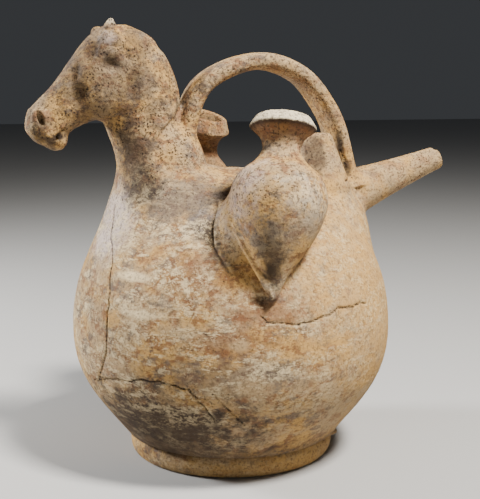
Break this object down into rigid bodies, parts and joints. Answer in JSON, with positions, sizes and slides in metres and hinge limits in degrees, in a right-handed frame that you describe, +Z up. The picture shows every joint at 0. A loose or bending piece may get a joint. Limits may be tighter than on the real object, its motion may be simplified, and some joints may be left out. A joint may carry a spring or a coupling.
{
  "type": "horse-shaped askos",
  "caption": "Hollow terracotta pouring vessel in the form of a horse, with a strap handle over the back, a tail spout, a filling neck and a small pointed jar on each flank.",
  "frame": {"origin": "centre of the foot's flat underside", "axes": "+Z up; the horse faces -X, its tail spout points to +X and the flank jars stand at -Y and +Y"},
  "size_m": [0.2569, 0.2007, 0.25],
  "materials": {
    "terracotta": "matte unglazed fired clay, weathered"
  },
  "bodies": {
    "root": {"askos": "terracotta"}
  },
  "joints": []
}
